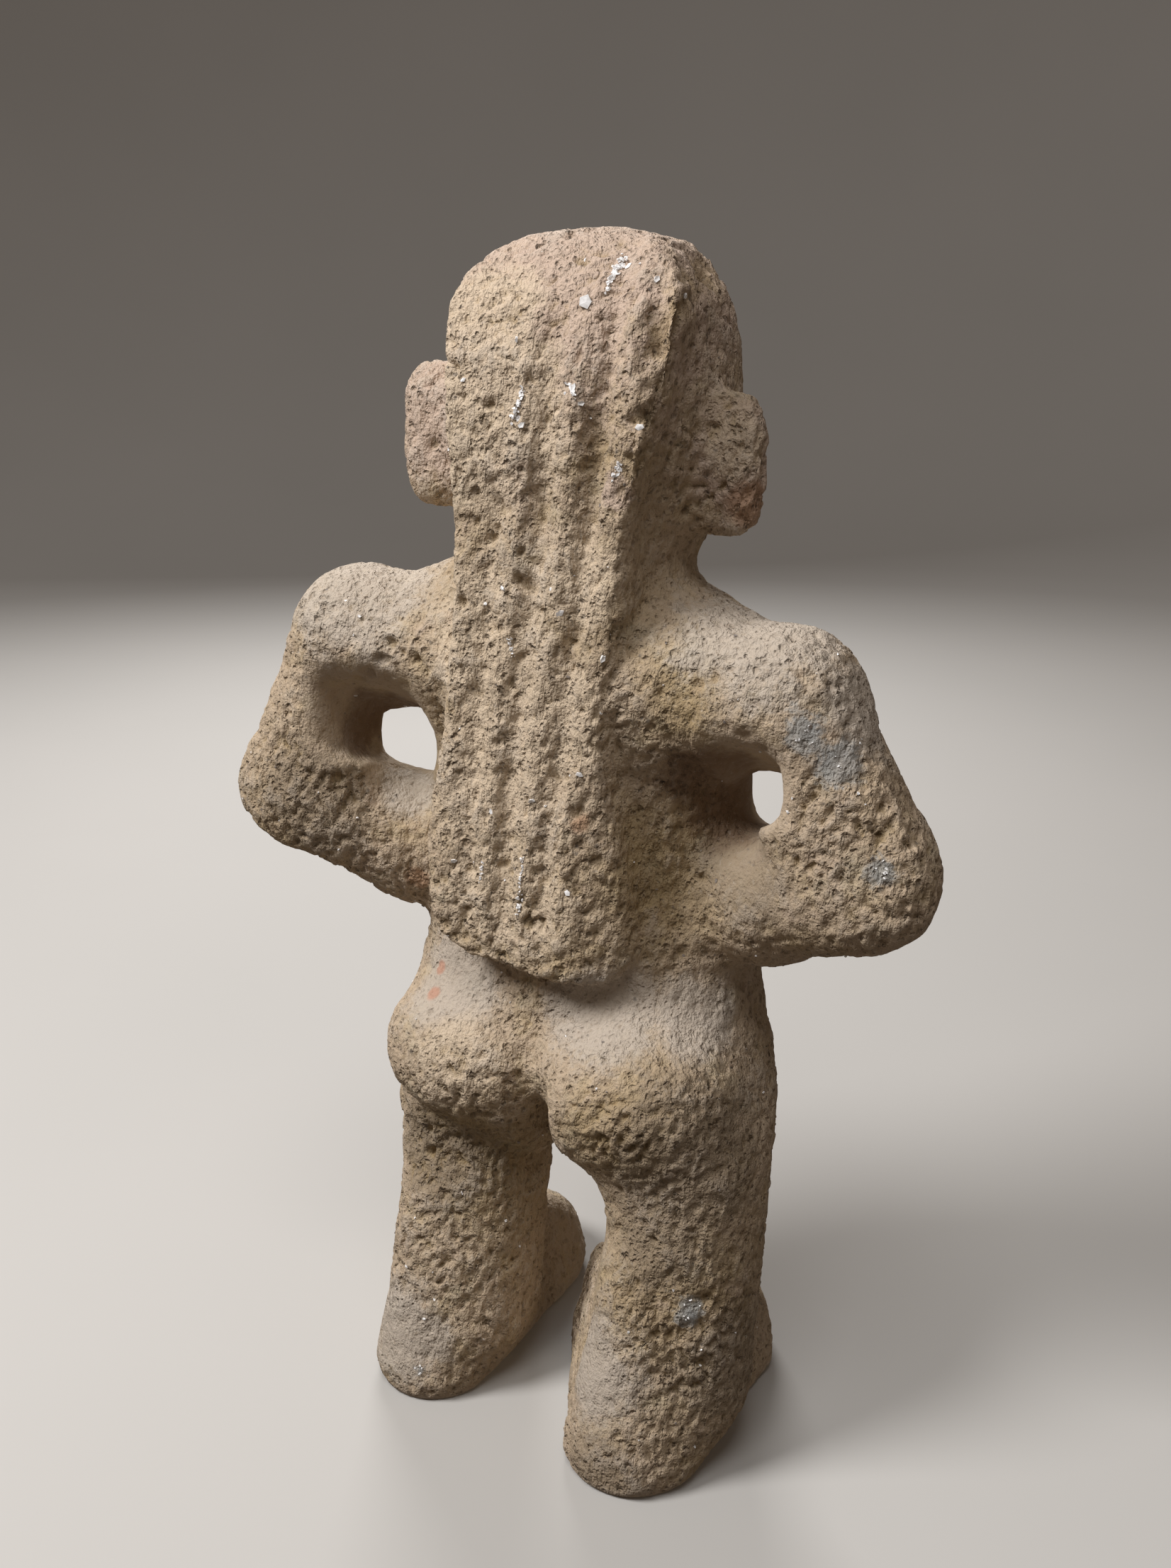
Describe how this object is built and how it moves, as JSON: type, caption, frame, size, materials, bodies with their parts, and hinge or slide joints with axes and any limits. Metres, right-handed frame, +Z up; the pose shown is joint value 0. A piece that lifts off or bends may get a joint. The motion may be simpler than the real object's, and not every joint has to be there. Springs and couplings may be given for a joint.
{
  "type": "standing stone figure",
  "caption": "Carved volcanic stone figure standing on its own feet, arms akimbo with see-through gaps, long ridged hair down the back",
  "frame": {"origin": "middle of the outline's box, at the height of the soles", "axes": "+Z up along the height, the front faces -Y, the figure's left is +X"},
  "size_m": [0.2158, 0.1144, 0.35],
  "materials": {
    "stone": "pecked, porous, matt"
  },
  "bodies": {
    "root": {"stone_figure": "stone"}
  },
  "joints": []
}
